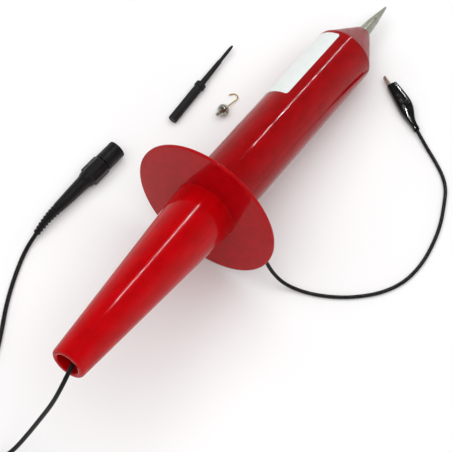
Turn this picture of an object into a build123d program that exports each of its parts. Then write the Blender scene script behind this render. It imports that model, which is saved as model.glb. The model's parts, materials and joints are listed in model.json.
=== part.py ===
from build123d import *
import os
from math import acos, asin, atan2, cos, degrees, hypot, pi, radians, sin, tan

os.makedirs("parts", exist_ok=True)

# A hand-held high-voltage probe at rest on a surface, in millimetres.
# +Z is up, +Y is the way the tip points, +X is to the right of it. The origin is on the surface,
# under the middle of the probe with its two loose accessories.

# ---- probe body: stations run along its axis from the middle of the guard, forward to the tip
guard_x, guard_y = 14.0, -45.0
guard_r, guard_t, guard_edge = 60.5, 2.6, 1.2
barrel_r, barrel_wall, barrel_end, barrel_edge = 25.0, 3.0, 193.5, 0.8
handle_big_r, handle_mouth_r, handle_wall, handle_end = 25.6, 13.7, 3.2, -166.3
mouth_r, mouth_depth, mouth_lip = 9.6, 12.0, 1.9
joint_r, joint_bore_r, joint_back, joint_front = 22.0, 19.0, -14.0, 20.0
nose_end, nose_end_r, nose_wall, nose_block = 222.7, 7.2, 3.4, 206.0
tip_base_r, tip_mid_r, tip_mid, tip_end, tip_end_r = 5.4, 3.9, 240.0, 261.0, 0.6
stud_r, stud_length, socket_r, socket_back = 2.5, 11.0, 4.2, 203.0
resistor_r, resistor_back, resistor_front = 5.5, 50.0, 180.0
cap_r, cap_length, cap_wall = 6.6, 8.0, 0.9
support_t, support_stations = 4.0, {"rear_support": 72.0, "front_support": 158.0}
board_back, board_front, board_width, board_t = -64.0, 6.0, 24.0, 1.6
anchor_back, anchor_front, anchor_boss_r = -140.0, -134.0, 5.0
label_back, label_front, label_side, label_half, label_t = 111.8, 189.4, 44.0, 33.0, 0.15
lead_station, lead_droop, grommet_r = 9.0, 20.0, 2.55
screw_station, screw_side, screw_r = 210.0, 42.0, 1.0
fit_gap, slip_gap = 0.02, 0.05

# ---- coaxial cable, its coil and its bayonet plug
coax_d = 3.4
coil_x, coil_y, coil_mean_r, coil_columns, coil_layers = -38.0, -303.0, 19.0, 3.375, 4
tie_t, tie_width = 0.8, 9.0
plug_front, plug_heading = (-89.9, -21.9), 5.3
housing_flats, housing_back, housing_front = 15.7, -35.2, -17.9
sleeve_r, sleeve_bore_r, sleeve_back, journal_r = 7.55, 4.95, -17.3, 4.05
collar_r, collar_back, trimmer_station = 7.0, -38.9, -27.0
gasket_seat_r, gasket_r, gasket_back, gasket_front = 4.4, 4.9, -12.25, -11.4
boot_straight, boot_curved, boot_bend, boot_roll = 30.0, 27.0, 13.1, 23.8
boot_start_r, boot_end_r, boot_ribs = 5.9, 2.7, 8

# ---- ground lead and clip: x runs along the clip from the wire's end to the jaws' tip
lead_d = 3.0
clip_x, clip_y, clip_heading = 95.6, 131.6, 151.15
clip_half_t, jaw_tip, jaw_gap = 3.9, 55.3, 0.15
pivot_x, pivot_y, pivot_r = 29.0, -0.6, 0.9
lower_half_w, upper_half_w, sheet, vinyl = 2.4, 1.5, 0.5, 0.5

# ---- loose accessories
tool_x, tool_back, tool_handle_r, tool_collar_r = -71.05, 26.0, 3.75, 4.5
tool_collar_front, tool_length = 40.7, 84.8
tool_shank_r, tool_neck_r, tool_bit_half, tool_end_half = 2.45, 1.85, 1.5, 0.45
hook_x, hook_y, hook_heading = -42.4, 57.0, 7.5
ball_r, wire_d, hook_shank, hook_bend_r, hook_stud = 4.7, 1.0, 16.6, 3.1, 8.2

# The probe rests on its guard's rim and on the barrel's front edge, so it leans nose down.
rim_r = guard_r - guard_edge
front_r = barrel_r - barrel_edge
front_station = barrel_end - barrel_edge
lean = acos((barrel_edge - guard_edge) / hypot(rim_r - front_r, front_station))
lean -= atan2(front_station, rim_r - front_r)
guard_z = rim_r * cos(lean) + guard_edge


def frame(x, y, z, heading, pitch=0.0):
    """A plane whose local z runs along the heading (degrees right of +Y), x to the left and y up."""
    turn = radians(heading)
    ahead = Vector(sin(turn) * cos(pitch), cos(turn) * cos(pitch), sin(pitch))
    return Plane((x, y, z), x_dir=(-cos(turn), sin(turn), 0), z_dir=ahead)


probe = frame(guard_x, guard_y, guard_z, 0.0, -lean)
plug = frame(*plug_front, housing_flats / 2, plug_heading)
clip = Plane(
    (clip_x, clip_y, clip_half_t),
    x_dir=(cos(radians(clip_heading)), sin(radians(clip_heading)), 0),
    z_dir=(0, 0, 1),
)
tool_pitch = atan2(tool_collar_r - tool_handle_r, tool_collar_front - 2)
tool = frame(tool_x, tool_back, tool_handle_r, 0.0, tool_pitch)
hook_pitch = -asin((ball_r - wire_d / 2) / (hook_shank + hook_bend_r))
hook = frame(hook_x, hook_y, ball_r, hook_heading, hook_pitch)

nodes = {}


def add(name, shape, where=None):
    """Puts a finished sub-part at its place and keeps it under its node's name."""
    shape = where.location * shape if where else shape
    nodes[name] = shape
    return shape


def turned(*outline):
    """A solid of revolution about local z, from (radius, station) pairs."""
    face = make_face(Polyline(*[(r, 0, s) for r, s in outline], close=True))
    return revolve(face, Axis.Z)


def tube_between(outer_r, inner_r, back, front):
    return turned((inner_r, back), (outer_r, back), (outer_r, front), (inner_r, front))


def rod(r, back, front):
    return turned((0, back), (r, back), (r, front), (0, front))


def left_of_top(angle):
    """Turns a thing that stands on the top of the probe to the left round its axis, in degrees."""
    return Rot(0, 0, -angle)


def round_edges(shape, radius, r, station, spread=0.01):
    """Rounds the circular edges of one radius at one station."""
    near = [
        e
        for e in shape.edges().filter_by(GeomType.CIRCLE)
        if abs(e.radius - r) < spread and abs(e.arc_center.Z - station) < spread
    ]
    return fillet(near, radius)


# ---- handle, guard and barrel
def handle_r(station):
    """The handle's outer radius at a station behind the guard."""
    share = (station + guard_t / 2) / (handle_end + guard_t / 2)
    return handle_big_r + (handle_mouth_r - handle_big_r) * share


def make_handle():
    back, front, inner = handle_end, -guard_t / 2, handle_end + mouth_depth
    shell = turned(
        (mouth_r, back),
        (handle_mouth_r, back),
        (handle_big_r, front),
        (joint_r, front),
        (joint_r, joint_back - 1),
        (handle_r(joint_back - 1) - handle_wall, joint_back - 1),
        (handle_r(inner + 3) - handle_wall, inner + 3),
        (mouth_r, inner),
    )
    shell = round_edges(shell, mouth_lip, handle_mouth_r, back)
    return round_edges(shell, mouth_lip, mouth_r, back)


def make_guard():
    disc = tube_between(guard_r, joint_r, -guard_t / 2, guard_t / 2)
    for side in (-1, 1):
        disc = round_edges(disc, guard_edge, guard_r, side * guard_t / 2)
    return disc


def make_barrel():
    bore_r = barrel_r - barrel_wall
    barrel = tube_between(barrel_r, bore_r, guard_t / 2, barrel_end)
    barrel = round_edges(barrel, barrel_edge, barrel_r, barrel_end)
    hole = Cylinder(grommet_r + slip_gap, 2 * barrel_r, align=(Align.CENTER, Align.CENTER, Align.MIN))
    return barrel - lead_axis() * hole


def make_label():
    """A thin sheet bent round the barrel, with rounded corners."""
    middle = (label_back + label_front) / 2
    width = 2 * barrel_r * sin(radians(label_half))
    sheet_block = extrude(RectangleRounded(width, label_front - label_back, 3.0), amount=2 * barrel_r)
    window = left_of_top(label_side) * Pos(0, 0, middle) * Rot(-90, 0, 0) * sheet_block
    return tube_between(barrel_r + label_t, barrel_r, label_back - 1, label_front + 1) & window


def make_nose():
    spigot_r, spigot_back = barrel_r - barrel_wall - fit_gap, barrel_end - 12
    slope = (nose_end_r - barrel_r) / (nose_end - barrel_end)
    block_r = barrel_r + slope * (nose_block - barrel_end) - nose_wall
    cone = turned(
        (spigot_r - nose_wall, spigot_back),
        (spigot_r, spigot_back),
        (spigot_r, barrel_end),
        (barrel_r - 0.4, barrel_end),
        (nose_end_r, nose_end),
        (socket_r, nose_end),
        (socket_r, nose_block),
        (block_r, nose_block),
    )
    cone = round_edges(cone, 0.8, nose_end_r, nose_end)
    return cone - screw_place() * Cylinder(screw_r + slip_gap, 10)


def screw_place():
    """The nose screw's axis, square to the cone's surface on the barrel's upper side."""
    flank = atan2(barrel_r - nose_end_r, nose_end - barrel_end)
    surface_r = barrel_r - (screw_station - barrel_end) * tan(flank)
    tilt = Rot(-90 + degrees(flank), 0, 0)
    return left_of_top(screw_side) * Pos(0, surface_r, screw_station) * tilt


def make_nose_screw():
    grub = Cylinder(screw_r, 3.6, align=(Align.CENTER, Align.CENTER, Align.MAX))
    grub -= extrude(RegularPolygon(0.55, 6), amount=-1.2)
    return screw_place() * Pos(0, 0, -0.3) * grub


# ---- tip, socket and the resistor stack
def make_tip():
    tip = turned(
        (0, nose_end - stud_length),
        (stud_r - slip_gap, nose_end - stud_length),
        (stud_r - slip_gap, nose_end),
        (tip_base_r, nose_end),
        (tip_mid_r, tip_mid),
        (tip_end_r, tip_end),
        (0, tip_end),
    )
    tip = fillet(tip.edges().filter_by(lambda e: abs(e.center().Z - tip_end) < 0.01), 0.45)
    wire_hole = Rot(0, 0, 20) * Pos(0, 0, tip_mid + 1.0) * Rot(90, 0, 0) * Cylinder(0.6, 12)
    return tip - wire_hole


def make_socket():
    floor = nose_end - stud_length - 1
    outer_r = socket_r - fit_gap
    return rod(outer_r, socket_back, nose_end) - rod(stud_r, floor, nose_end)


def make_spring():
    """A compression spring between the resistor's front cap and the tip socket."""
    wire_r, coil_r = 0.4, 3.0
    back, front = resistor_front + 1.5, socket_back - 0.5
    path = Pos(0, 0, back) * Helix(pitch=(front - back) / 7, height=front - back, radius=coil_r)
    section = Plane(path @ 0, z_dir=path % 0) * Circle(wire_r)
    return sweep(section, path=path, is_frenet=True)


def make_cap(closed_end, open_end):
    """A metal cap pressed over one end of the resistor rod."""
    step = 1 if open_end > closed_end else -1
    cup = rod(cap_r, min(closed_end, open_end), max(closed_end, open_end))
    rod_end = closed_end + step * cap_wall
    return cup - rod(resistor_r + fit_gap, min(rod_end, open_end), max(rod_end, open_end))


def make_support(station):
    """An insulating web that holds the resistor rod on the barrel's axis."""
    outer_r = barrel_r - barrel_wall - fit_gap
    web = tube_between(outer_r, resistor_r + fit_gap, station - support_t / 2, station + support_t / 2)
    holes = [
        loc * Pos(0, 0, station - support_t) * Cylinder(3.5, 4 * support_t)
        for loc in PolarLocations(14.0, 6)
    ]
    return web - holes


def make_board():
    length = board_front - board_back
    board = Pos(0, 0, (board_back + board_front) / 2) * Box(board_width, board_t, length)
    mounting = [Pos(0, 0, s) * Rot(90, 0, 0) * Cylinder(1.6, 6) for s in (board_back + 6, board_front - 6)]
    return board - mounting


def make_board_parts():
    """Divider resistors in a row, a trimmer and a film capacitor, standing on the board."""
    top = board_t / 2
    chips = [Pos(-6, top + 0.6, s) * Box(2.4, 1.2, 4.6) for s in (-46, -38, -30)]
    trimmer = Pos(5, top + 1.6, -40) * Rot(90, 0, 0) * Cylinder(3.2, 3.2)
    capacitor = Pos(3, top + 2.5, -22) * Box(11, 5, 6)
    return Compound(children=chips + [trimmer, capacitor])


def make_ground_ring():
    """A metal strip ring inside the joining sleeve, with a hole that the ground screw goes through."""
    outer_r = joint_bore_r - fit_gap
    ring = tube_between(outer_r, outer_r - 0.8, lead_station - 5, lead_station + 5)
    return ring - screw_way()


def lead_axis():
    """The ground lead's way out: radial, on the right and a little downward."""
    return left_of_top(-90 - lead_droop) * Pos(0, 0, lead_station) * Rot(-90, 0, 0)


def screw_way():
    """The clearance hole for the ground screw, on the lead's side only."""
    return lead_axis() * Cylinder(1.55, 2 * barrel_r, align=(Align.CENTER, Align.CENTER, Align.MIN))


def make_ground_screw():
    outer = joint_r - fit_gap
    shank = Pos(0, 0, outer) * Cylinder(1.5, 6.0, align=(Align.CENTER, Align.CENTER, Align.MAX))
    head = Pos(0, 0, outer - 6.0) * Cylinder(2.8, 1.8, align=(Align.CENTER, Align.CENTER, Align.MAX))
    return lead_axis() * (shank + head)


def make_grommet():
    back, wall, flange, boss = joint_r + fit_gap, barrel_r, barrel_r + 1.4, barrel_r + 5.0
    body = turned((0, back), (grommet_r, back), (grommet_r, wall + 0.3), (4.2, wall + 0.3),
                  (4.2, flange), (3.0, flange + 0.6), (2.3, boss), (0, boss))
    return lead_axis() * body


def make_joining_sleeve():
    sleeve = tube_between(joint_r - fit_gap, joint_bore_r, joint_back, joint_front)
    return sleeve - screw_way()


# ---- cable anchor inside the handle
def make_anchor():
    outer_r = handle_r(anchor_back) - handle_wall - 0.2
    bore_r = coax_d / 2 + 0.3
    return turned(
        (bore_r, anchor_back), (outer_r, anchor_back), (outer_r, anchor_front),
        (anchor_boss_r, anchor_front), (anchor_boss_r, anchor_front + 6), (bore_r, anchor_front + 6),
    )


def make_crimp():
    back = anchor_front + 6
    return tube_between(anchor_boss_r - 1.2, coax_d / 2 + fit_gap, back, back + 9)


# ---- cords
def tube_along(name, points, diameter):
    """A round tube along straight runs that arcs join, each arc as large as its two runs allow."""
    points = [Vector(*p) for p in points]
    runs = [b - a for a, b in zip(points, points[1:])]
    radii = []
    for before, after in zip(runs, runs[1:]):
        half_turn = radians(before.get_angle(after)) / 2
        radii.append(0.45 * min(before.length, after.length) / tan(half_turn))
    path = FilletPolyline(*points, radius=radii)
    section = Plane(path @ 0, z_dir=path % 0) * Circle(diameter / 2)
    shape = sweep(section, path=path, transition=Transition.RIGHT)
    expected = pi * diameter**2 / 4 * path.length
    print(name, "length", round(path.length, 1), "volume share", round(shape.volume / expected, 4))
    print(name, "radii", [round(r, 1) for r in radii])
    return add(name, shape)


coil_side = coil_mean_r + coil_columns * coax_d / 2
coil_top = tie_t + coax_d * (coil_layers - 0.5)
boot_z = 5.0

lead_route = [
    (14.0, -182.7, 84.9), (15.2, -196.0, 86.6), (16.8, -209.2, 86.5), (17.9, -221.0, 80.0),
    (16.2, -232.0, 66.5), (10.9, -242.5, 48.5), (5.2, -253.5, 29.5), (-0.6, -266.5, 13.5),
    (-9.0, -281.0, 4.4), (-13.3, -293.0, 2.7), (coil_x + coil_side, coil_y, tie_t + coax_d / 2),
]
tail_route = [
    (coil_x - coil_side, coil_y, coil_top), (-62.9, -289.0, 11.6), (-61.0, -271.0, 6.0),
    (-58.5, -252.0, 1.7), (-57.5, -232.0, 1.7), (-60.5, -213.0, 1.7), (-69.5, -195.5, 1.7),
    (-81.0, -175.0, 1.7), (-90.2, -153.0, 1.7), (-96.7, -132.5, 1.9), (-97.5, -117.2, boot_z),
]
ground_route = [
    (42.2, -38.0, 47.9), (53.0, -38.6, 43.4), (62.0, -39.6, 30.0), (71.0, -41.7, 15.5),
    (83.0, -41.5, 5.3), (98.0, -37.5, 1.6), (114.0, -31.0, 1.5), (131.5, -20.0, 1.5),
    (148.0, -4.0, 1.5), (158.0, 14.0, 1.5), (161.0, 34.0, 1.5), (159.2, 54.0, 1.5),
    (154.8, 73.0, 1.5), (147.0, 91.0, 1.5), (141.5, 102.0, 1.5), (132.6, 110.6, 1.5),
    (121.5, 117.6, 1.5), (109.0, 124.2, 2.0), (clip_x, clip_y, clip_half_t),
]


def make_coil():
    """The outer shape of the wound cable: a round ring of turns four layers high."""
    half = (coil_columns + 1) * coax_d / 2
    height = coil_layers * coax_d
    ring_section = Pos(coil_mean_r, 0, tie_t + height / 2) * Rot(90, 0, 0)
    ring = revolve(ring_section * RectangleRounded(2 * half, height, 1.5), Axis.Z)
    return Pos(coil_x, coil_y, 0) * ring


def make_tie():
    """A flat strap round the coil's bundle of turns."""
    inner_w, inner_h = (coil_columns + 1) * coax_d + 1.2, coil_layers * coax_d + 0.1
    outer = RectangleRounded(inner_w + 2 * tie_t, inner_h + 2 * tie_t, 1.8)
    inner = RectangleRounded(inner_w, inner_h, 1.0)
    strap = extrude(outer - inner, amount=tie_width / 2, both=True)
    place = Pos(coil_x, coil_y - coil_mean_r, tie_t + inner_h / 2) * Rot(0, 90, 0) * Rot(0, 0, 90)
    return place * strap


# ---- bayonet plug
def make_housing():
    across_corners = housing_flats / cos(pi / 8)
    length = housing_front - housing_back
    outline = Rot(0, 0, 22.5) * RegularPolygon(across_corners / 2, 8)
    body = Pos(0, 0, housing_back) * extrude(outline, amount=length)
    ends = body.edges().group_by(Axis.Z)
    body = chamfer(ends[0], 1.3)
    body = chamfer(body.edges().group_by(Axis.Z)[-1], 0.5)
    neck = tube_between(6.4, journal_r + fit_gap, housing_front - 1, housing_front + 0.3)
    cavity = rod(5.6, housing_back + 1.6, housing_front - 4.0)
    bore = rod(journal_r + fit_gap, housing_front - 5.0, 0)
    hole = Pos(housing_flats / 2, 0, trimmer_station) * Rot(0, 90, 0) * Cylinder(1.6, 8)
    return body + neck - cavity - bore - hole


def make_trimmer():
    """A slotted screw, sunk in the left side of the plug's housing."""
    depth = 1.1
    screw = Cylinder(1.5, 3.0, align=(Align.CENTER, Align.CENTER, Align.MAX))
    screw -= Box(3.2, 0.5, 1.2)
    return Pos(housing_flats / 2 - depth, 0, trimmer_station) * Rot(0, 90, 0) * screw


def make_coupling_sleeve():
    """The bayonet sleeve, with two entry grooves for the socket's lugs in its bore."""
    wall_front = sleeve_back + 3.7
    sleeve = turned(
        (journal_r + 0.07, sleeve_back), (sleeve_r, sleeve_back), (sleeve_r, 0),
        (sleeve_bore_r, 0), (sleeve_bore_r, wall_front), (journal_r + 0.07, wall_front),
    )
    sleeve = round_edges(sleeve, 0.7, sleeve_r, 0)
    sleeve = round_edges(sleeve, 0.5, sleeve_r, sleeve_back)
    groove = Pos(0, 0, wall_front / 2 - 1) * Box(2 * 5.8, 2.2, -wall_front - 2)
    return sleeve - groove


def make_plug_shell():
    """The outer contact: a split tube with a flange that holds the coupling sleeve on."""
    bore_r, flange_r, back, front = 3.45, 4.7, -21.0, -2.0
    flange_back = sleeve_back + 4.0
    shell = turned(
        (bore_r, back), (journal_r, back), (journal_r, flange_back), (flange_r, flange_back),
        (flange_r, gasket_back), (gasket_seat_r, gasket_back), (gasket_seat_r, gasket_front),
        (journal_r, gasket_front), (journal_r, front), (bore_r, front),
    )
    slits = [Rot(0, 0, a) * Pos(0, 0, -3.9) * Box(0.4, 20, 4.0) for a in (0, 90)]
    return shell - slits


def boot_path_point(s):
    """The boot's centre line in the plug's frame, s from the collar: straight, then a gentle arc."""
    if s <= boot_straight:
        return Vector(0, 0, collar_back - s), Vector(0, 0, -1)
    arc_r = boot_curved / radians(boot_bend)
    angle = (s - boot_straight) / arc_r
    side = Vector(-sin(radians(boot_roll)), -cos(radians(boot_roll)), 0)
    back = Vector(0, 0, -1)
    start = Vector(0, 0, collar_back - boot_straight)
    place = start + back * arc_r * sin(angle) + side * arc_r * (1 - cos(angle))
    return place, back * cos(angle) + side * sin(angle)


def boot_r(s):
    """The boot's outer radius: a straight taper, a little fuller over its smooth half."""
    share = s / (boot_straight + boot_curved)
    return boot_start_r + (boot_end_r - boot_start_r) * share**1.15


def make_boot():
    total = boot_straight + boot_curved
    sections = []
    for k in range(11):
        s = total * k / 10
        place, along = boot_path_point(s)
        sections.append(Plane(place, z_dir=along) * Circle(boot_r(s)))
    boot = loft(sections)
    pitch = (boot_curved - 2) / boot_ribs
    for k in range(boot_ribs):
        s = boot_straight + 0.5 + pitch * (k + 0.5)
        place, along = boot_path_point(s)
        outer = boot_r(s)
        ring = tube_between(outer + 1, outer - 0.55, -0.55, 0.55)
        boot -= Plane(place, z_dir=along).location * ring
    return boot


# ---- alligator clip
def channel(outline, half_width, bite, ear_edge):
    """A folded sheet-metal channel: the outline's block, less its inside, open on one side."""
    block = extrude(make_face(Polyline(*outline, close=True)), amount=half_width, both=True)
    inside = extrude(make_face(Polyline(*bite, close=True)), amount=half_width - sheet, both=True)
    return block - inside - ear_edge


def make_lower_jaw():
    outer = [(5, 1.5), (12, 2.1), (20, 3.0), (29, 2.8), (38, 2.0), (46, 1.2), (jaw_tip, 0.8),
             (jaw_tip, jaw_gap), (33, jaw_gap), (31.5, -1.9), (26.5, -1.9), (24, 0.6), (5, 0.4)]
    bite = [(4, 1.0), (12, 1.6), (20, 2.5), (29, 2.3), (38, 1.5), (44, 0.7), (44, -3), (4, -3)]
    jaw = channel(outer, lower_half_w, bite, Pos(pivot_x, pivot_y, 0) * Cylinder(pivot_r + fit_gap, 12))
    taper = [Pos(jaw_tip, 0, side * 3.0) * Rot(0, side * 4, 0) * Box(36, 12, 3.0) for side in (-1, 1)]
    return jaw - taper - teeth(1)


def make_upper_jaw():
    outer = [(jaw_tip + 0.2, -0.9), (46, -1.9), (34, -4.0), (27, -6.4), (21, -7.0), (19, -6.6),
             (19, -5.6), (25.5, -4.0), (26.6, 1.0), (31.4, 1.0), (33, -jaw_gap), (jaw_tip + 0.2, -jaw_gap)]
    bite = [(44, -1.4), (34, -3.5), (27, -5.9), (21, -6.5), (18, -6.3), (18, 3), (44, 3)]
    hole = Pos(pivot_x, pivot_y, 0) * Cylinder(pivot_r + slip_gap, 12)
    return channel(outer, upper_half_w, bite, hole) - teeth(-1)


def teeth(side):
    """The notches between a jaw's teeth, cut from its biting edge."""
    notch = [Pos(s, side * jaw_gap, 0) * Rot(0, 0, 45) * Box(0.7, 0.7, 12) for s in range(46, 55, 2)]
    return Compound(children=notch)


def make_rivet():
    rivet = Cylinder(pivot_r, 2 * lower_half_w + 0.6)
    head = [Pos(0, 0, side * (lower_half_w + 0.3)) * Cylinder(1.5, 0.5) for side in (-1, 1)]
    return Pos(pivot_x, pivot_y, 0) * (rivet + head)


def make_clip_spring():
    """The torsion spring's coil round the rivet, and the leg that bears on the fixed jaw."""
    coil = tube_between(pivot_r + 0.7, pivot_r + 0.15, -0.7, 0.7)
    leg = Pos(-3.2, 1.25, 0.4) * Box(6.4, 0.6, 0.6)
    return Pos(pivot_x, pivot_y, 0) * (coil + leg)


def make_wire_screw():
    return Pos(14.5, 0, 0) * Rot(90, 0, 0) * (Cylinder(1.0, 3.4) + Pos(0, 0, 1.4) * Cylinder(1.7, 0.9))


# station, upper and lower edge across the clip, and half thickness of the vinyl boot's outside
boot_stations = [
    (0.0, 2.5, -2.5, 2.5), (8.0, 2.95, -2.7, 3.05), (14.0, 3.9, -5.4, 3.6), (20.0, 4.6, -8.1, clip_half_t),
    (27.0, 4.1, -9.2, clip_half_t), (38.0, 3.3, -7.5, clip_half_t), (46.4, 2.5, -6.4, 3.7),
]


def boot_skin(shrink, reach=0.0):
    """The vinyl boot's outside, or with a shrink the space inside it."""
    sections = []
    for s, high, low, thick in boot_stations:
        s = s + reach if s == boot_stations[-1][0] else s
        deep, thick = (high - low) / 2 - shrink, thick - shrink
        place = Plane((s, (high + low) / 2, 0), x_dir=(0, 1, 0), z_dir=(1, 0, 0))
        sections.append(place * RectangleRounded(2 * deep, 2 * thick, 0.6 * min(deep, thick)))
    return loft(sections)


def make_clip_boot():
    space = boot_skin(vinyl, 1.0) - Pos(2.0, 0, 0) * Box(7.0, 20, 20)
    return boot_skin(0.0) - space


# ---- loose accessories
def make_tool_handle():
    collar_back = tool_collar_front - 4.2
    body = turned(
        (0, 0), (tool_handle_r, 0), (tool_handle_r, collar_back), (tool_collar_r, collar_back),
        (tool_collar_r, tool_collar_front), (tool_shank_r, tool_collar_front),
        (tool_shank_r, tool_collar_front - 8), (0, tool_collar_front - 8),
    )
    body = round_edges(body, 1.0, tool_handle_r, 0)
    return round_edges(body, 0.6, tool_collar_r, tool_collar_front)


def make_tool_blade():
    """A tapered shank and a thin flattened bit with a spear point."""
    root, neck, end = tool_collar_front - 8 + fit_gap, tool_collar_front + 25.5, tool_length
    shank_r = tool_shank_r - fit_gap
    shank = turned(
        (0, root), (shank_r, root), (shank_r, tool_collar_front), (tool_neck_r, neck), (0, neck)
    )
    half = [(tool_bit_half, neck - 1), (tool_bit_half - 0.1, end - 4.5), (tool_end_half, end)]
    outline = [(x, 0, z) for x, z in half] + [(-x, 0, z) for x, z in reversed(half)]
    return shank + extrude(make_face(Polyline(*outline, close=True)), 0.5, both=True)


def make_hook_collar():
    """A turned collar like a flattened ball with a knurled middle, on a stud that screws in."""
    ball = Sphere(ball_r) & Cylinder(ball_r, 7.4)
    knurl = [
        loc * Rot(0, 0, 45) * Box(0.5, 0.5, 3.0)
        for loc in PolarLocations(ball_r, 24)
    ]
    slot = Pos(0, 0, 4.0) * Box(1.0, 12, 1.6)
    stud = rod(1.5, -hook_stud, -3.0)
    stud = chamfer(stud.edges().group_by(Axis.Z)[0], 0.3)
    return ball - knurl - slot - rod(wire_d / 2 + fit_gap, -1.0, 6) + stud


def make_hook_wire():
    """A wire that is pressed into the collar, with a bend of 150 degrees and a short straight end."""
    bend, root = radians(150), -1.0 + fit_gap
    centre = Vector(hook_bend_r, 0, hook_shank)
    middle, arc_end = [
        centre + Vector(-hook_bend_r * cos(angle), 0, hook_bend_r * sin(angle))
        for angle in (bend / 2, bend)
    ]
    shank = Line((0, 0, root), (0, 0, hook_shank))
    curl = ThreePointArc(shank @ 1, middle, arc_end)
    end = Line(arc_end, arc_end + Vector(sin(bend), 0, cos(bend)) * 3.2)
    return sweep(Plane.XY.offset(root) * Circle(wire_d / 2), path=Wire([shank, curl, end]))


add("handle_shell", make_handle(), probe)
add("hand_guard", make_guard(), probe)
add("barrel_tube", make_barrel(), probe)
add("joining_sleeve", make_joining_sleeve(), probe)
add("nose_cone", make_nose(), probe)
add("nose_screw", make_nose_screw(), probe)
add("blank_label", make_label(), probe)
add("probe_tip", make_tip(), probe)
add("tip_socket", make_socket(), probe)
add("contact_spring", make_spring(), probe)
add("hv_resistor", rod(resistor_r, resistor_back, resistor_front), probe)
add("rear_end_cap", make_cap(resistor_back - 1, resistor_back - 1 + cap_length), probe)
add("front_end_cap", make_cap(resistor_front + 1, resistor_front + 1 - cap_length), probe)
for support, station in support_stations.items():
    add(support, make_support(station), probe)
add("divider_board", make_board(), probe)
add("board_components", make_board_parts(), probe)
add("ground_ring", make_ground_ring(), probe)
add("ground_screw", make_ground_screw(), probe)
add("lead_grommet", make_grommet(), probe)
add("cable_anchor", make_anchor(), probe)
add("cable_crimp", make_crimp(), probe)
add("inner_coax", rod(coax_d / 2, anchor_back + 0.3, board_back), probe)

tube_along("coax_lead", lead_route, coax_d)
tube_along("coax_tail", tail_route, coax_d)
tube_along("ground_lead", ground_route, lead_d)
add("cable_coil", make_coil())
add("cable_tie", make_tie())

add("plug_housing", make_housing(), plug)
add("trimmer_screw", make_trimmer(), plug)
add("coupling_sleeve", make_coupling_sleeve(), plug)
add("plug_shell", make_plug_shell(), plug)
add("plug_insulator", tube_between(3.43, 0.7, -15.0, -8.0), plug)
add("plug_pin", rod(0.68, -16.0, -3.5), plug)
add("plug_gasket", tube_between(gasket_r, gasket_seat_r + fit_gap, gasket_back, gasket_front), plug)
add("plug_collar", tube_between(collar_r, 2.0, collar_back, housing_back), plug)
add("plug_boot", make_boot(), plug)

add("clip_lower_jaw", make_lower_jaw(), clip)
add("clip_upper_jaw", make_upper_jaw(), clip)
add("clip_rivet", make_rivet(), clip)
add("clip_spring", make_clip_spring(), clip)
add("clip_wire_screw", make_wire_screw(), clip)
add("clip_boot", make_clip_boot(), clip)

add("tool_handle", make_tool_handle(), tool)
add("tool_blade", make_tool_blade(), tool)
add("hook_collar", make_hook_collar(), hook)
add("hook_wire", make_hook_wire(), hook)

for name, shape in nodes.items():
    export_step(shape, f"parts/{name}.step")
print(len(nodes), "nodes, lean", round(degrees(lean), 2), "guard height", round(guard_z, 2))
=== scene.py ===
# %% [markdown]
# # A high-voltage probe, lying on a table with its leads and accessories
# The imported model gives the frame: every part is already in its place, in metres, with +Z up and
# the probe pointing along +Y. New pieces are laid over that frame, so the first step only loads it
# and keeps its size, which the finished model must not outgrow.

# %% Load the frame
import json
from math import cos, degrees, pi, radians, sin

import bpy
from mathutils import Matrix, Vector


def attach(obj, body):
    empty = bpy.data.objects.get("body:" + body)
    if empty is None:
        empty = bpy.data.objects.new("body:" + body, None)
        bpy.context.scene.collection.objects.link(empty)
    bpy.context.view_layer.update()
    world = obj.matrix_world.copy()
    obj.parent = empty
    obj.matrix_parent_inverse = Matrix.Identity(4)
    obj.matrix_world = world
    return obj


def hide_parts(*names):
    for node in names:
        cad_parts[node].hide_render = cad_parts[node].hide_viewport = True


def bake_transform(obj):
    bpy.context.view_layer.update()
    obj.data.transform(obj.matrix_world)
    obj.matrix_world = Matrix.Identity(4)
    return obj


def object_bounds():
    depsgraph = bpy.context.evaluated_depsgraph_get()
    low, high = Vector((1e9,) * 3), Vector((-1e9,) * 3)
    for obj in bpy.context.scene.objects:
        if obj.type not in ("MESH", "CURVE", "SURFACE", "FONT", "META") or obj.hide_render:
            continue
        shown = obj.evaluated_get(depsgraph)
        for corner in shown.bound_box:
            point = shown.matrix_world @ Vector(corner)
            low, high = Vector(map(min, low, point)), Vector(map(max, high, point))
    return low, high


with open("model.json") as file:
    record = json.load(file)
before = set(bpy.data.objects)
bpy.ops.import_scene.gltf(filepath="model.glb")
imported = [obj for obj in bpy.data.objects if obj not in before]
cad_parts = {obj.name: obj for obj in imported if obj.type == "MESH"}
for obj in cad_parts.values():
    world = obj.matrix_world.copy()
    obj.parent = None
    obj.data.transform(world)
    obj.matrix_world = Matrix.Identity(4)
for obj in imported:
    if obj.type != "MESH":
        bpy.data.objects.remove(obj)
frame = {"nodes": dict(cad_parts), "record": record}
cad_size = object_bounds()
mm = 0.001

# %% [markdown]
# ## Camera
# A long lens from far off keeps the probe's sides nearly parallel. The camera is easiest to
# describe by the spot on the table that it aims at, how far away it is, and two angles, so those
# are named here.

# %% Camera
aim = Vector((0.0180, -0.0249, 0.0))
distance, azimuth, elevation = 1.1746, radians(35.2), radians(64.7)
lens_mm = 119.47

camera = bpy.data.objects.new("camera", bpy.data.cameras.new("camera"))
bpy.context.collection.objects.link(camera)
towards = Vector((sin(azimuth) * cos(elevation), -cos(azimuth) * cos(elevation), sin(elevation)))
camera.location = aim + distance * towards
camera.rotation_euler = (pi / 2 - elevation, 0.0, azimuth)
camera.data.lens = lens_mm
camera.data.sensor_width = 36.0
bpy.context.scene.camera = camera
print("camera stands", round(camera.location.z, 3), "m above the table")

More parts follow.
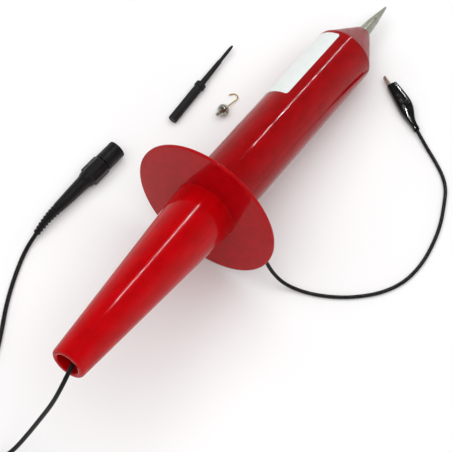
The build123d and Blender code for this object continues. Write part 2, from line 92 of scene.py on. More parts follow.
# %% [markdown]
# ## Cords
# A cord is a fixed length of something soft, so its line comes first and its thickness second. A
# NURBS curve with a few control points bends the way a cable does, without flat runs or kinks.
# Points could also be sampled from a finished tube, but the result looks like bent wire.

# %% A helper that makes a cord
def make_cord(name, points, diameter):
    """A round cord along a smooth line that the points pull into shape."""
    line = bpy.data.curves.new(name, "CURVE")
    line.dimensions = "3D"
    spline = line.splines.new("NURBS")
    spline.points.add(len(points) - 1)
    for point, place in zip(spline.points, points):
        point.co = (*place, 1.0)
    spline.order_u = 3
    spline.use_endpoint_u = True
    spline.resolution_u = 8
    line.bevel_depth = diameter / 2
    line.bevel_resolution = 4
    line.use_fill_caps = True
    cord = bpy.data.objects.new(name, line)
    bpy.context.collection.objects.link(cord)
    print(name, "has", len(points), "points and is", round(spline.calc_length(), 3), "m long")
    return cord


# %% [markdown]
# The coaxial cable comes out of the handle, falls to the table and runs into a coil that holds the
# length nobody needs. The coil is wound as by hand: four layers of turns, in and out by turns, each
# layer a cable's thickness above the last. Winding it as more points of the same spline keeps the
# cable one piece from the handle to the plug, where it runs on inside the boot.

# %% Coaxial cable and its coil
coax_d = 3.4 * mm
strap_t = 0.8 * mm
coil_middle = Vector((-38.0 * mm, -303.0 * mm, 0.0))
coil_mean_r = 19.0 * mm
turns_per_layer, coil_layers, points_per_turn = 3.375, 4, 18
step_up = 0.15


def wound_turns():
    """Points for the coil, clockwise from above, from its right side up and round to its left."""
    pull = cos(pi / points_per_turn)
    reach = turns_per_layer * coax_d / 2
    points = []
    for step in range(round(coil_layers * turns_per_layer * points_per_turn) + 1):
        turns = step / points_per_turn
        climbed = turns / turns_per_layer
        layer = min(int(climbed), coil_layers - 1)
        share = climbed - layer
        out = 1 - 2 * share if layer % 2 == 0 else 2 * share - 1
        radius = (coil_mean_r + reach * out) / pull
        change = round(climbed)
        late = (climbed - change) * turns_per_layer
        height = layer
        if 0 < change < coil_layers and abs(late) < step_up:
            height = change - 0.5 + late / (2 * step_up)
        angle = -2 * pi * turns
        points.append(coil_middle + Vector((
            radius * cos(angle), radius * sin(angle), strap_t + coax_d * (height + 0.5))))
    return points


to_coil = [Vector(p) * mm for p in [
    (14.0, -182.7, 84.9), (15.2, -196.0, 86.6), (16.8, -209.2, 86.5), (17.9, -221.0, 80.0),
    (16.2, -232.0, 66.5), (10.9, -242.5, 48.5), (5.2, -253.5, 29.5), (-0.6, -266.5, 13.5),
    (-9.0, -281.0, 4.4), (-13.3, -293.0, 2.7)]]
to_plug = [Vector(p) * mm for p in [
    (-62.9, -289.0, 11.6), (-61.0, -271.0, 6.0), (-58.5, -252.0, 1.7), (-57.5, -232.0, 1.7),
    (-60.5, -213.0, 1.7), (-69.5, -195.5, 1.7), (-81.0, -175.0, 1.7), (-90.2, -153.0, 1.7),
    (-96.7, -132.5, 1.9), (-97.5, -117.2, 5.0), (-97.5, -104.0, 7.85), (-94.9, -75.6, 7.85),
    (-93.5, -60.6, 7.85)]]
coax_cable = make_cord("coax_cable", to_coil + wound_turns() + to_plug, coax_d)

# %% [markdown]
# The ground lead is thinner. It leaves the barrel in front of the guard, drops to the table and
# swings round in one wide loop to its clip, close beside the probe's nose.

# %% Ground lead
lead_d = 3.0 * mm
to_clip = [Vector(p) * mm for p in [
    (42.2, -38.0, 47.9), (53.0, -38.6, 43.4), (62.0, -39.6, 30.0), (71.0, -41.7, 15.5),
    (83.0, -41.5, 5.3), (98.0, -37.5, 1.6), (114.0, -31.0, 1.5), (131.5, -20.0, 1.5),
    (148.0, -4.0, 1.5), (158.0, 14.0, 1.5), (161.0, 34.0, 1.5), (159.2, 54.0, 1.5),
    (154.8, 73.0, 1.5), (147.0, 91.0, 1.5), (141.5, 102.0, 1.5), (132.6, 110.6, 1.5),
    (121.5, 117.6, 1.5), (109.0, 124.2, 2.0), (95.6, 131.6, 3.9)]]
ground_cord = make_cord("ground_cord", to_clip, lead_d)

# %% [markdown]
# ## Places
# Nearly every piece here is turned on a lathe, so it is made upright round the Z axis and then
# moved to where it belongs. The record states a point and a direction for each end of the object,
# and those give the four places: the probe, the plug, the clip and the small tool. In each of them,
# z runs ahead along the piece, x to its left and y up. The clip lies on its side, so its place is
# turned a quarter round.

# %% Places of the turned pieces
mounts = {mount["name"]: mount for mount in frame["record"]["mounts"]}


def place_on(mount_name, station):
    """The matrix of a place whose z axis runs through the mount, which is at that station of it."""
    mount = mounts[mount_name]
    ahead = Vector(mount["axis"]).normalized()
    left = Vector((-ahead.y, ahead.x, 0.0)).normalized()
    turn = Matrix((left, ahead.cross(left), ahead)).transposed().to_4x4()
    return Matrix.Translation(Vector(mount["pos_m"]) - ahead * station * mm) @ turn


def turned_left(angle):
    """Turns what stands on top of a place to the left round its axis, in degrees."""
    return Matrix.Rotation(radians(-angle), 4, "Z")


def moved(x=0.0, y=0.0, z=0.0):
    """A shift in millimetres."""
    return Matrix.Translation(Vector((x, y, z)) * mm)


face_up = Matrix.Rotation(radians(-90), 4, "X")
point_end, contact_end, bit_end, jaws_end = 261.0, -6.7, 84.8, 52.0
probe = place_on("probe_point", point_end)
plug = place_on("plug_contact", contact_end)
tool = place_on("trimmer_bit", bit_end)
clip = place_on("clip_jaws", jaws_end) @ turned_left(90)
lean = 90 - degrees(probe.to_3x3().col[2].angle(Vector((0, 0, -1))))
print("the probe leans", round(lean, 1), "degrees")

# %% [markdown]
# ## Helpers for the lathe
# A lathe piece starts as a circle. Extruding it along the axis and resizing each new ring draws the
# outline, ring by ring, as a turner would. Where a corner is round on the real piece, a third
# number says how far the rounding reaches, and a few rings follow the curve. Open ends are filled,
# and the smooth shading keeps every edge sharper than 30 degrees.

# %% Lathe helpers
def with_round_corners(outline, closed, steps=5):
    """Swaps each corner that has a rounding for a few points along a curve."""
    rounded = []
    for k, corner in enumerate(outline):
        if len(corner) == 2:
            rounded.append(corner)
            continue
        here = Vector(corner[:2])
        before = Vector(outline[k - 1][:2])
        after = Vector(outline[(k + 1) % len(outline)][:2])
        start = here + (before - here).normalized() * corner[2]
        end = here + (after - here).normalized() * corner[2]
        for step in range(steps + 1):
            share = step / steps
            point = start.lerp(here, share).lerp(here.lerp(end, share), share)
            rounded.append(tuple(point))
    return rounded + rounded[:1] if closed else rounded


def only(piece):
    """Selects one piece and nothing else, in object mode."""
    if bpy.context.object and bpy.context.object.mode != "OBJECT":
        bpy.ops.object.mode_set(mode="OBJECT")
    bpy.ops.object.select_all(action="DESELECT")
    if piece:
        piece.select_set(True)
        bpy.context.view_layer.objects.active = piece


def face_outward(piece):
    """Recalculates the normals, and turns them round if they still enclose the space outside."""
    only(piece)
    bpy.ops.object.mode_set(mode="EDIT")
    bpy.ops.mesh.select_all(action="SELECT")
    bpy.ops.mesh.normals_make_consistent(inside=False)
    bpy.ops.object.mode_set(mode="OBJECT")
    if sum(face.center.dot(face.normal) * face.area for face in piece.data.polygons) < 0:
        bpy.ops.object.mode_set(mode="EDIT")
        bpy.ops.mesh.flip_normals()
        bpy.ops.object.mode_set(mode="OBJECT")


def turn_piece(name, outline, closed=False, sides=96, turn=0.0):
    """A piece of revolution about z from (radius, station, rounding) corners in millimetres."""
    rings = with_round_corners(outline, closed)
    only(None)
    radius, station = rings[0]
    bpy.ops.mesh.primitive_circle_add(vertices=sides, radius=radius * mm, fill_type="NOTHING")
    piece = bpy.context.object
    piece.name = name
    bpy.ops.object.mode_set(mode="EDIT")
    bpy.ops.mesh.select_all(action="SELECT")
    bpy.ops.transform.rotate(value=turn, orient_axis="Z", center_override=(0, 0, 0))
    bpy.ops.transform.translate(value=(0, 0, station * mm))
    for next_radius, next_station in rings[1:]:
        rise = (0, 0, (next_station - station) * mm)
        bpy.ops.mesh.extrude_edges_move(TRANSFORM_OT_translate={"value": rise})
        wider = next_radius / radius
        bpy.ops.transform.resize(value=(wider, wider, 1), center_override=(0, 0, next_station * mm))
        radius, station = next_radius, next_station
    bpy.ops.mesh.select_all(action="SELECT")
    bpy.ops.mesh.remove_doubles(threshold=1e-6)
    bpy.ops.mesh.fill_holes(sides=0)
    face_outward(piece)
    smoothed(piece)
    return piece


def smoothed(piece, angle=30):
    """Smooth shading that keeps the sharper edges."""
    only(piece)
    bpy.ops.object.shade_smooth_by_angle(angle=radians(angle))


def select_points(piece, wanted):
    """Enters edit mode with the vertices selected that a test on their place picks out."""
    only(piece)
    bpy.ops.object.mode_set(mode="EDIT")
    bpy.ops.mesh.select_mode(type="VERT")
    bpy.ops.mesh.select_all(action="DESELECT")
    bpy.ops.object.mode_set(mode="OBJECT")
    for vertex in piece.data.vertices:
        vertex.select = wanted(vertex.co / mm)
    bpy.ops.object.mode_set(mode="EDIT")


def apply_modifier(piece, kind, **settings):
    """Adds a modifier with these settings and applies it."""
    only(piece)
    modifier = piece.modifiers.new(kind.lower(), kind)
    for setting, value in settings.items():
        setattr(modifier, setting, value)
    bpy.ops.object.modifier_apply(modifier=modifier.name)


def drill(piece, radius, depth, where):
    """Cuts a round hole, centred on a place and along its z axis."""
    only(None)
    bpy.ops.mesh.primitive_cylinder_add(vertices=32, radius=radius * mm, depth=depth * mm)
    bit = bpy.context.object
    bit.data.transform(where)
    apply_modifier(piece, "BOOLEAN", object=bit, operation="DIFFERENCE", solver="EXACT")
    bpy.data.objects.remove(bit)
    smoothed(piece)


def put(piece, where, body, replaced, finish):
    """Places a piece, gives it its finish, puts it on its body and hides the part it replaces."""
    only(None)
    if where:
        piece.data.transform(where)
    piece.data.materials.clear()
    piece.data.materials.append(finish)
    if body:
        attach(piece, body)
    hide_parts(replaced)
    print(piece.name, "stands for", replaced)


# %% [markdown]
# ## Helpers for finishes
# No real surface is one flat colour. Each finish starts from the shader's own sockets, which hold
# what is the same all over, and then gets noise in the piece's own coordinates: a slow one for
# colour, another for how dull it is, and a fine one for relief. A second mapping node stretches a
# pattern along the piece, which is how drawn, brushed and turned surfaces differ from cast ones.

# %% Finish helpers
def new_finish(name, colour, roughness, **sockets):
    """A material whose constant values sit on the shader itself."""
    finish = bpy.data.materials.new(name)
    finish.use_nodes = True
    shader = finish.node_tree.nodes["Principled BSDF"]
    shader.inputs["Base Color"].default_value = (*colour, 1.0)
    shader.inputs["Roughness"].default_value = roughness
    for socket, value in sockets.items():
        shader.inputs[socket.replace("_", " ")].default_value = value
    return finish


def grain(finish, per_metre, stretch=(1, 1, 1), where=None, detail=3.0):
    """A noise over the piece, with so many features a metre, turned to a place and stretched."""
    nodes, links = finish.node_tree.nodes, finish.node_tree.links
    source = nodes.new("ShaderNodeTexCoord").outputs["Object"]
    if where:
        turn = nodes.new("ShaderNodeMapping")
        inverse = where.inverted()
        turn.inputs["Location"].default_value = inverse.translation
        turn.inputs["Rotation"].default_value = inverse.to_euler()
        links.new(source, turn.inputs["Vector"])
        source = turn.outputs["Vector"]
    pull = nodes.new("ShaderNodeMapping")
    pull.inputs["Scale"].default_value = stretch
    links.new(source, pull.inputs["Vector"])
    noise = nodes.new("ShaderNodeTexNoise")
    noise.inputs["Scale"].default_value = per_metre
    noise.inputs["Detail"].default_value = detail
    links.new(pull.outputs["Vector"], noise.inputs["Vector"])
    return noise.outputs["Fac"]


def levels(finish, value, low, high, to_low=0.0, to_high=1.0):
    """Maps the part of a pattern between two values to another range."""
    ramp = finish.node_tree.nodes.new("ShaderNodeMapRange")
    ends = {"From Min": low, "From Max": high, "To Min": to_low, "To Max": to_high}
    for socket, end in ends.items():
        ramp.inputs[socket].default_value = end
    finish.node_tree.links.new(value, ramp.inputs["Value"])
    return ramp.outputs["Result"]


# A mix node gives the sockets of every kind of mix the same names, so a colour's go by number.
mix_share, mix_first, mix_second, mix_result = 0, 6, 7, 2


def vary_colour(finish, value, other, low=0.4, high=0.7):
    """Blends the base colour towards another where the pattern is high."""
    nodes, links = finish.node_tree.nodes, finish.node_tree.links
    base = nodes["Principled BSDF"].inputs["Base Color"]
    mix = nodes.new("ShaderNodeMix")
    mix.data_type = "RGBA"
    mix.inputs[mix_first].default_value = base.default_value
    mix.inputs[mix_second].default_value = (*other, 1.0)
    links.new(levels(finish, value, low, high), mix.inputs[mix_share])
    links.new(mix.outputs[mix_result], base)


def vary_roughness(finish, value, dull, shiny):
    """Makes the surface dull where the pattern is high and shiny where it is low."""
    shader = finish.node_tree.nodes["Principled BSDF"]
    spread = levels(finish, value, low=0.35, high=0.65, to_low=shiny, to_high=dull)
    finish.node_tree.links.new(spread, shader.inputs["Roughness"])


def relief(finish, value, depth_mm, strength):
    """Bumps of a depth in millimetres, laid over any that the finish already has."""
    nodes, links = finish.node_tree.nodes, finish.node_tree.links
    normal = nodes["Principled BSDF"].inputs["Normal"]
    bump = nodes.new("ShaderNodeBump")
    bump.inputs["Strength"].default_value = strength
    bump.inputs["Distance"].default_value = depth_mm * mm
    if normal.is_linked:
        links.new(normal.links[0].from_socket, bump.inputs["Normal"])
    links.new(value, bump.inputs["Height"])
    links.new(bump.outputs["Normal"], normal)


# %% [markdown]
# ## Handle
# The handle is a hollow moulded cone. Its open end has a fat round lip, and its wide end has a
# small fillet where it is bonded to the guard. The gloss is high, but a moulding is never optically
# flat, so a slow noise bends the reflections and darkens the red in soft patches along its length.

# %% Handle
def glossy_red(name, colour, deep, shine):
    """Polished red plastic: soft darker patches, slow waves and a few dull spots."""
    finish = new_finish(name, colour, shine, Specular_IOR_Level=0.16)
    patches = grain(finish, 120, (1, 1, 0.6), probe, detail=6.0)
    vary_colour(finish, patches, deep, low=0.36, high=0.70)
    vary_roughness(finish, grain(finish, 210), dull=shine + 0.05, shiny=shine)
    waves = grain(finish, 45, (1, 1, 0.25), probe, detail=1.0)
    relief(finish, waves, depth_mm=0.05, strength=0.2)
    texture = grain(finish, 900, (1, 1, 0.15), probe)
    relief(finish, texture, depth_mm=0.003, strength=0.25)
    return finish


grip_red = glossy_red("grip_red_gloss", (0.455, 0.0008, 0.003), (0.37, 0.0006, 0.002), shine=0.04)
mouth_r, mouth_end, base_r, base_end = 13.7, -166.3, 25.5, -2.7
seam, bore_r, wall = -1.35, 22.0, 3.2
handle = turn_piece("handle", [
    (9.1, mouth_end, 0.9), (11.0, -166.5, 0.8), (mouth_r, mouth_end, 2.2), (base_r, base_end, 0.5),
    (25.8, seam), (bore_r, seam), (bore_r, -15.0), (24.6 - wall, -15.0), (14.8 - wall, -151.3),
    (9.1, -154.3)], closed=True, sides=128)
put(handle, probe, "probe", "handle_shell", grip_red)

# %% [markdown]
# ## Guard and barrel
# The guard is a thin disc that keeps fingers back from the high-voltage end. It is the shiniest
# part, so it mirrors the handle. The barrel is a length of tube in the same plastic, a little
# darker.

# %% Guard and barrel
guard_red = glossy_red("guard_red_gloss", (0.40, 0.0015, 0.004), (0.32, 0.001, 0.003), shine=0.03)
guard_r, guard_half_t, rim = 60.5, 1.3, 1.1
guard = turn_piece("guard", [
    (bore_r, -guard_half_t), (guard_r, -guard_half_t, rim), (guard_r, guard_half_t, rim),
    (bore_r, guard_half_t)], closed=True, sides=192)
put(guard, probe, "probe", "hand_guard", guard_red)

barrel_red = glossy_red(
    "barrel_red_gloss", (0.31, 0.0015, 0.003), (0.24, 0.0008, 0.002), shine=0.04)
barrel_r, barrel_end = 25.0, 193.5
barrel = turn_piece("barrel", [
    (barrel_r, guard_half_t), (barrel_r, barrel_end, 0.9), (bore_r, barrel_end),
    (bore_r, guard_half_t)], closed=True, sides=128)
put(barrel, probe, "probe", "barrel_tube", barrel_red)

# %% [markdown]
# ## Label
# A white sticker wraps part of the way round the barrel. It starts as a flat plane with round
# corners, cut into strips so that it can bend, and a shrinkwrap lays it on the barrel. It stays
# blank.

# %% Label
label_back, label_front, label_side, label_half_width = 111.8, 189.4, 44.0, 15.6
only(None)
bpy.ops.mesh.primitive_plane_add(size=1)
label = bpy.context.object
label.name = "label"
bpy.ops.object.mode_set(mode="EDIT")
bpy.ops.mesh.select_all(action="SELECT")
bpy.ops.transform.resize(value=(2 * label_half_width * mm, (label_front - label_back) * mm, 1))
bpy.ops.mesh.bevel(offset=2.6 * mm, segments=6, affect="VERTICES")
label_strips = 26
for cut in range(1, label_strips):
    across = (2 * cut / label_strips - 1) * label_half_width * mm
    bpy.ops.mesh.select_all(action="SELECT")
    bpy.ops.mesh.bisect(plane_co=(across, 0, 0), plane_no=(1, 0, 0))
bpy.ops.object.mode_set(mode="OBJECT")
label_middle = (label_back + label_front) / 2
label.data.transform(probe @ turned_left(label_side) @ moved(0, barrel_r, label_middle) @ face_up)
apply_modifier(label, "SHRINKWRAP", target=barrel, wrap_mode="ABOVE_SURFACE", offset=0.05 * mm)
apply_modifier(label, "SOLIDIFY", thickness=0.12 * mm, offset=1.0)
smoothed(label, 40)
paper = new_finish("label_film", (0.74, 0.78, 0.76), 0.42, Coat_Weight=0.2)
vary_colour(paper, grain(paper, 180), (0.70, 0.74, 0.72), low=0.35)
relief(paper, grain(paper, 1500), depth_mm=0.01, strength=0.4)
put(label, None, "probe", "blank_label", paper)

# %% [markdown]
# ## Nose cone
# The cone that closes the barrel is softer-looking: a dull, slightly see-through plastic, so it
# gets some light under its skin. A small screw sits below its surface in a drilled hole.

# %% Nose cone
nose_back, nose_inside, nose_end = barrel_end - 0.1, 207.0, 222.7
nose_end_r, socket_r = 7.2, 4.25
nose = turn_piece("nose", [
    (24.55, nose_back, 0.3), (nose_end_r, nose_end, 0.8), (socket_r, nose_end),
    (socket_r, nose_inside), (14.5, nose_inside), (21.0, nose_back)], closed=True, sides=128)
screw_side, screw_station, cone_angle = 42.0, 210.0, 31.4
cone_r = nose_end_r + (nose_end - screw_station) * (barrel_r - nose_end_r) / (nose_end - barrel_end)
screw_hole = turned_left(screw_side) @ moved(0, cone_r, screw_station) @ Matrix.Rotation(
    radians(cone_angle - 90), 4, "X")
drill(nose, radius=1.15, depth=6.0, where=screw_hole)
nose_plastic = new_finish(
    "nose_dull_red", (0.27, 0.032, 0.035), 0.42, Subsurface_Weight=0.25, Subsurface_Scale=0.004,
    Subsurface_Radius=(1.0, 0.3, 0.25), Specular_IOR_Level=0.3)
vary_colour(nose_plastic, grain(nose_plastic, 55), (0.21, 0.018, 0.021))
vary_roughness(nose_plastic, grain(nose_plastic, 160), dull=0.46, shiny=0.32)
relief(nose_plastic, grain(nose_plastic, 1100), depth_mm=0.02, strength=0.5)
put(nose, probe, "probe", "nose_cone", nose_plastic)

# %% [markdown]
# ## Point
# The metal point is turned in two tapers and screws into the nose. Turning leaves fine rings round
# it, which a noise squeezed along the axis gives, and a small cross hole takes a thin bar to
# tighten it.

# %% Point
stud_r, shoulder, cross_station = 2.45, 222.72, 241.0
point = turn_piece("point", [
    (stud_r, 211.7), (stud_r, shoulder), (5.35, shoulder, 0.2), (3.9, 240.0, 0.8),
    (0.95, 259.6, 0.5), (0.35, point_end)], sides=64)
across_point = Matrix.Rotation(radians(90), 4, "X")
drill(point, radius=0.6, depth=24.0,
      where=turned_left(-20) @ moved(0, 0, cross_station) @ across_point)
satin_metal = new_finish("point_satin", (0.42, 0.42, 0.35), 0.40, Metallic=0.8)
vary_colour(satin_metal, grain(satin_metal, 90), (0.30, 0.30, 0.25))
vary_roughness(satin_metal, grain(satin_metal, 300), dull=0.52, shiny=0.34)
rings = grain(satin_metal, 1500, (0.05, 0.05, 1), probe)
relief(satin_metal, rings, depth_mm=0.02, strength=0.5)
put(point, probe, "tip", "probe_tip", satin_metal)

# %% [markdown]
# ## Grommet
# Where the ground lead comes out of the barrel, a ribbed rubber grommet stops the edge of the hole
# from cutting it. Black rubber and plastic get one helper, because they differ only in how dull
# they are.

# %% Grommet
def black_finish(name, shade, roughness, grain_per_metre, depth_mm, **sockets):
    """Black plastic or rubber with a fine grain and slightly greyer patches."""
    sockets = {"Specular_IOR_Level": 0.25, **sockets}
    finish = new_finish(name, (shade, shade, shade * 1.08), roughness, **sockets)
    grey = shade * 1.6
    vary_colour(finish, grain(finish, 120), (grey, grey, grey * 1.05), low=0.42, high=0.75)
    vary_roughness(finish, grain(finish, 260), roughness + 0.08, roughness - 0.06)
    relief(finish, grain(finish, grain_per_metre), depth_mm, strength=0.5)
    return finish


rubber = black_finish("black_rubber", 0.008, 0.5, 2200, 0.02)
lead_station, lead_droop = 9.0, 20.0
lead_way = probe @ turned_left(-90 - lead_droop) @ moved(0, 0, lead_station) @ face_up
grommet = turn_piece("grommet", [
    (2.4, 22.2), (2.4, 25.2), (4.2, 25.2, 0.3), (4.2, 26.4, 0.3), (3.0, 26.9), (3.1, 27.4),
    (2.7, 27.6), (2.8, 28.2), (2.45, 28.4), (2.5, 29.2), (2.15, 30.0, 0.3), (1.5, 30.0)], sides=48)
put(grommet, lead_way, "probe", "lead_grommet", rubber)

# %% [markdown]
# ## Plug
# The plug has a round coupling sleeve that turns, an eight-sided housing with chamfered ends, a
# stepped collar and a long rubber boot. Two slots in the sleeve's bore let the socket's lugs in.

# %% Coupling sleeve
plug_black = black_finish("plug_black", 0.005, 0.42, 1700, 0.015)
sleeve = turn_piece("sleeve", [
    (4.13, -17.3), (7.55, -17.3, 0.5), (7.55, -15.6), (7.25, -15.4), (7.25, -15.0), (7.55, -14.8),
    (7.55, -2.9), (7.4, -2.75), (7.4, -2.55), (7.55, -2.4), (7.55, 0.0, 0.8), (4.95, 0.0, 0.4),
    (4.95, -13.6), (4.13, -13.6)], closed=True, sides=96)
only(None)
bpy.ops.mesh.primitive_cube_add(size=1)
slot_cutter = bpy.context.object
slot_size = [side * mm for side in (11.6, 2.2, 15.6)]
slot_cutter.data.transform(moved(0, 0, -6.8) @ Matrix.Diagonal((*slot_size, 1)))
apply_modifier(sleeve, "BOOLEAN", object=slot_cutter, operation="DIFFERENCE", solver="EXACT")
bpy.data.objects.remove(slot_cutter)
smoothed(sleeve)
put(sleeve, plug, "plug_sleeve", "coupling_sleeve", plug_black)

# %% [markdown]
# The housing is turned like the rest, but on a circle of eight sides, and a bevel softens its long
# edges. The trimmer's hole is drilled in one of its flats.

# %% Housing and collar
flats_half, boot_station = 7.85, -38.9
corner_r = flats_half / cos(pi / 8)
housing = turn_piece("housing", [
    (corner_r - 1.4, -35.2), (corner_r, -33.8), (corner_r, -18.5), (corner_r - 0.6, -17.95),
    (6.6, -17.9), (6.6, -17.65)], sides=8, turn=pi / 8)
apply_modifier(housing, "BEVEL", width=0.4 * mm, segments=3, limit_method="ANGLE",
               angle_limit=radians(20))
trimmer_hole = moved(6.4, 0, -27.0) @ Matrix.Rotation(radians(90), 4, "Y")
drill(housing, radius=1.62, depth=5.0, where=trimmer_hole)
put(housing, plug, "probe", "plug_housing", plug_black)

collar = turn_piece("collar", [
    (5.0, -35.1), (7.0, -35.1), (7.0, -36.8, 0.25), (6.55, -37.0), (6.55, -38.0, 0.2),
    (6.2, -38.2), (6.2, boot_station, 0.2), (5.0, boot_station)])
put(collar, plug, "probe", "plug_collar", plug_black)

# %% [markdown]
# The boot is turned straight, with its ribs cut as grooves, and then a curve modifier bends it to
# follow the cable. Bending a finished straight piece keeps its ribs even, which modelling it bent
# would not.

# %% Boot
boot_straight, boot_curved, boot_ribs = 30.0, 27.0, 8
boot_length = boot_straight + boot_curved
boot_wide_r, boot_taper, boot_hollowness = 5.9, 3.2, 1.15
groove_profile = ((-0.8, 0.0), (-0.6, 0.15), (-0.5, 0.6), (0.5, 0.6), (0.6, 0.15), (0.8, 0.0))


def boot_r(along):
    """The boot's radius at a distance from its wide end, leaving the ribs aside."""
    return boot_wide_r - boot_taper * (along / boot_length) ** boot_hollowness


outline = [(boot_r(0) + 0.2, 0.0, 0.2), (boot_r(1.2), 1.2)]
outline += [(boot_r(along), along) for along in range(4, 29, 4)]
rib_pitch = (boot_curved - 2) / boot_ribs
for rib in range(boot_ribs):
    groove = boot_straight + 0.5 + rib_pitch * (rib + 0.5)
    outline += [(boot_r(groove) - depth, groove + along) for along, depth in groove_profile]
boot_end_r = boot_r(boot_length)
outline += [(boot_end_r, boot_length - 0.6, 0.3), (boot_end_r - 0.5, boot_length)]
boot = turn_piece("boot", outline, sides=64)

bend, roll = radians(13.1), radians(23.8)
half_bend = boot_curved / bend * (sin(bend / 2) / cos(bend / 2))
down_side = Vector((-sin(roll), -cos(roll), 0.0))
bend_line = bpy.data.curves.new("boot_line", "CURVE")
bend_line.dimensions = "3D"
spline = bend_line.splines.new("NURBS")
spline.points.add(3)
near = Vector((0, 0, boot_station))
bend_start = Vector((0, 0, boot_station - boot_straight))
corner = Vector((0, 0, boot_station - boot_straight - half_bend))
far = corner + half_bend * (Vector((0, 0, -1)) * cos(bend) + down_side * sin(bend))
for control, spot in zip(spline.points, (near, bend_start, corner, far)):
    control.co = (*(spot * mm), 1.0)
spline.order_u = 3
spline.use_endpoint_u = True
spline.resolution_u = 24
boot_guide = bpy.data.objects.new("boot_guide", bend_line)
bpy.context.collection.objects.link(boot_guide)
apply_modifier(boot, "CURVE", object=boot_guide, deform_axis="POS_Z")
bpy.data.objects.remove(boot_guide)
boot_rubber = black_finish("boot_rubber", 0.006, 0.36, 1500, 0.015)
put(boot, plug, "probe", "plug_boot", boot_rubber)

# %% [markdown]
# ## Clip cover
# A soft vinyl cover is pulled over the clip. It grows from a small rounded square at the wire's
# end, extruded and resized station by station, and a thickness and a subdivision make it a smooth,
# slightly lumpy skin with an open mouth where the jaws come out. Its tail grips the wire.

# %% Clip cover
# Each station says how far along it is, how high and how low it reaches, and half its thickness.
stations = [
    (0.0, 2.5, -2.5, 2.5), (3.0, 2.6, -2.6, 2.6), (8.0, 2.95, -2.7, 3.05), (14.0, 3.9, -5.4, 3.6),
    (20.0, 4.6, -8.1, 3.9), (27.0, 4.1, -9.2, 3.9), (38.0, 3.3, -7.5, 3.9), (46.4, 2.5, -6.4, 3.7)]
only(None)
bpy.ops.mesh.primitive_plane_add(size=5.0 * mm)
cover = bpy.context.object
cover.name = "clip_cover"
bpy.ops.object.mode_set(mode="EDIT")
bpy.ops.mesh.select_all(action="SELECT")
bpy.ops.mesh.bevel(offset=0.8 * mm, segments=1, affect="VERTICES")
bpy.ops.mesh.delete(type="ONLY_FACE")
bpy.ops.mesh.select_all(action="SELECT")
station, high, low, thick = stations[0]
for next_station, next_high, next_low, next_thick in stations[1:]:
    middle, next_middle = (high + low) / 2, (next_high + next_low) / 2
    shift = (0, (next_middle - middle) * mm, (next_station - station) * mm)
    bpy.ops.mesh.extrude_edges_move(TRANSFORM_OT_translate={"value": shift})
    wider = (next_thick / thick, (next_high - next_low) / (high - low), 1)
    bpy.ops.transform.resize(value=wider, center_override=(0, next_middle * mm, next_station * mm))
    station, high, low, thick = next_station, next_high, next_low, next_thick
bpy.ops.mesh.select_all(action="SELECT")
bpy.ops.mesh.normals_make_consistent(inside=False)
apply_modifier(cover, "SOLIDIFY", thickness=0.45 * mm, offset=-1.0)
apply_modifier(cover, "SUBSURF", levels=3, render_levels=3)
smoothed(cover, 60)
vinyl = black_finish("clip_vinyl", 0.003, 0.10, 200, 0.08, Specular_IOR_Level=0.5)
lumps = grain(vinyl, 90, (1, 1, 0.35), clip, detail=1.0)
relief(vinyl, lumps, depth_mm=0.5, strength=0.35)
put(cover, clip, None, "clip_boot", vinyl)
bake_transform(cover)

# %% [markdown]
# ## Adjusting tool
# The little tool for the plug's trimmer is moulded in one piece of dull black plastic: a round
# handle, a collar and a blade that thins to a flat bit with a spear point. The bit is turned first,
# and its points are then squeezed flat.

# %% Adjusting tool
tool_black = black_finish("tool_black", 0.009, 0.55, 1300, 0.03)
grip = turn_piece("tool_grip", [
    (3.0, 0.0), (3.75, 0.0, 0.7), (3.75, 36.4), (3.95, 36.5, 0.15), (4.5, 36.6, 0.3),
    (4.5, 40.7, 0.6), (2.3, 40.7)], sides=64)
put(grip, tool, "adjusting_tool", "tool_handle", tool_black)

neck = 66.2
blade = turn_piece("tool_blade_piece", [
    (2.35, 38.0), (2.4, 40.7), (2.15, 52.0), (1.9, 64.5), (1.85, neck), (1.5, neck + 1.2),
    (1.5, 76.0), (1.4, 80.3), (1.2, 82.6), (0.85, 84.2), (0.4, bit_end)], sides=32)
bit_flatness = 0.42
select_points(blade, lambda co: co.z > neck + 0.5)
bpy.ops.transform.resize(value=(1, bit_flatness, 1), center_override=(0, 0, 0))
smoothed(blade)
put(blade, tool, "adjusting_tool", "tool_blade", tool_black)

# %% [markdown]
# ## Finishes for the carried parts
# The rest of the frame's parts are already the right shape: the clip's toothed jaws, the knurled
# hook tip, the contacts in the plug, and the works inside. They keep their meshes and get finishes,
# one for each of the record's material slots.

# %% Finishes for the carried parts
def metal_finish(name, colour, worn, roughness):
    """Bare metal with fine marks, duller patches and a little tarnish."""
    finish = new_finish(name, colour, roughness, Metallic=1.0)
    vary_colour(finish, grain(finish, 400), worn)
    vary_roughness(finish, grain(finish, 900), roughness + 0.12, roughness - 0.05)
    relief(finish, grain(finish, 2500), depth_mm=0.006, strength=0.5)
    return finish


def plain_finish(name, colour, other, roughness):
    """Moulded or lacquered material with soft mottling."""
    finish = new_finish(name, colour, roughness)
    vary_colour(finish, grain(finish, 150), other)
    relief(finish, grain(finish, 1500), depth_mm=0.02, strength=0.4)
    return finish


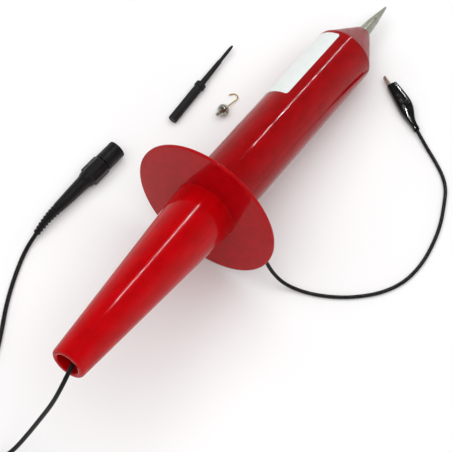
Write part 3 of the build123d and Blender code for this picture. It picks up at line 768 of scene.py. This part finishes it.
nickel = metal_finish("nickel", (0.55, 0.54, 0.46), (0.24, 0.24, 0.19), 0.25)
brass = metal_finish("brass", (0.66, 0.50, 0.20), (0.40, 0.30, 0.12), 0.3)
steel = metal_finish("dark_steel", (0.32, 0.32, 0.32), (0.16, 0.16, 0.16), 0.4)
jaw_metal = metal_finish("jaw_metal", (0.34, 0.26, 0.22), (0.16, 0.10, 0.08), 0.36)
carried = {
    "white_insulator": plain_finish(
        "white_insulator", (0.78, 0.77, 0.72), (0.68, 0.66, 0.60), 0.45),
    "screw_steel": steel, "spring_steel": steel, "plated_metal": nickel, "brass_metal": brass,
    "clip_steel": jaw_metal, "tip_metal": satin_metal, "nose_plastic": nose_plastic,
    "resistor_body": plain_finish("resistor_lacquer", (0.03, 0.08, 0.30), (0.02, 0.05, 0.2), 0.25),
    "board": plain_finish("board_green", (0.02, 0.16, 0.06), (0.02, 0.11, 0.04), 0.4),
    "components": plain_finish("component_bodies", (0.05, 0.05, 0.055), (0.09, 0.08, 0.07), 0.5),
    "black_rubber": rubber, "black_plastic": plug_black,
    "cable_jacket": black_finish("cable_jacket", 0.006, 0.34, 1400, 0.012),
    "lead_jacket": black_finish("lead_jacket", 0.006, 0.30, 1400, 0.012),
    "grip_red": grip_red, "guard_red": guard_red, "barrel_red": barrel_red, "label": paper,
    "clip_vinyl": vinyl, "tool_plastic": tool_black,
}
slots = {part["node"]: part["material_slot"] for part in frame["record"]["subparts"]}
strap = black_finish("strap_weave", 0.02, 0.7, 900, 0.15, Sheen_Weight=0.3)
for name, node in frame["nodes"].items():
    finish = strap if name == "cable_tie" else carried[slots[name]]
    node.data.materials.clear()
    node.data.materials.append(finish)
print("finished", len(frame["nodes"]), "carried parts")

# %% [markdown]
# ## Finishing the cords
# With the plug and the clip made, each cord gets its jacket's finish and rides with the probe, and
# the frame's own leads are hidden.

for cord, slot in ((coax_cable, "cable_jacket"), (ground_cord, "lead_jacket")):
    cord.data.materials.append(carried[slot])
    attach(cord, "probe")
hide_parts("coax_lead", "cable_coil", "coax_tail")
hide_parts("ground_lead")

# %% [markdown]
# ## Table
# The table is plain and pale, a hair below the lowest part, and wide enough that its edge is never
# seen.

# %% Table
only(None)
table_side, table_gap = 14.0, 0.0001
bpy.ops.mesh.primitive_plane_add(size=table_side, location=(0, 0, cad_size[0][2] - table_gap))
table = bpy.context.object
table.name = "table"
table_top = new_finish("table_top", (0.88, 0.88, 0.88), 0.7, Specular_IOR_Level=0.1)
vary_colour(table_top, grain(table_top, 6), (0.86, 0.86, 0.86), low=0.3)
table.data.materials.append(table_top)
print("table added")

# %% [markdown]
# ## Light
# Glossy plastic shows whatever stands round it, so the light is built for its reflections. Two
# narrow strips overhead draw the thin bright lines along handle and barrel, and the sky is bright
# near the horizon and dark above. A large soft light that casts no reflection fills in.

# %% Lights
def area_light(name, spot, size, power, only_reflected):
    """A rectangular light at a spot, shining down, that is either only reflected or never."""
    light = bpy.data.lights.new(name, "AREA")
    light.shape = "RECTANGLE"
    light.size, light.size_y = size
    light.energy = power
    lamp = bpy.data.objects.new(name, light)
    bpy.context.collection.objects.link(lamp)
    lamp.location = spot
    lamp.visible_glossy = only_reflected
    lamp.visible_diffuse = not only_reflected


strip_x, strip_z, strip_width = -0.15, 1.2, 0.009
area_light("strip_on_handle", (strip_x, 0.50, strip_z), (strip_width, 0.36), 3.0, True)
area_light("strip_on_barrel", (strip_x, 1.50, strip_z), (strip_width, 0.66), 5.5, True)
area_light("soft_fill", (0.0, 0.0, 2.2), (4.0, 4.0), 90.0, False)
world = bpy.data.worlds.new("studio")
bpy.context.scene.world = world
world.use_nodes = True
sky_nodes, sky_links = world.node_tree.nodes, world.node_tree.links
split = sky_nodes.new("ShaderNodeSeparateXYZ")
sky_links.new(sky_nodes.new("ShaderNodeTexCoord").outputs["Generated"], split.inputs["Vector"])
dark_from, sky_bright, sky_dark = 0.75, 1.0, 0.12
strength = levels(world, split.outputs["Z"], 0.0, dark_from, sky_bright, sky_dark)
sky_links.new(strength, sky_nodes["Background"].inputs["Strength"])
sky_nodes["Background"].inputs["Color"].default_value = (1.0, 1.0, 1.0, 1.0)
bpy.context.scene.view_settings.view_transform = "Standard"
print("lights on")

# %% [markdown]
# ## Finish


print("script finished")
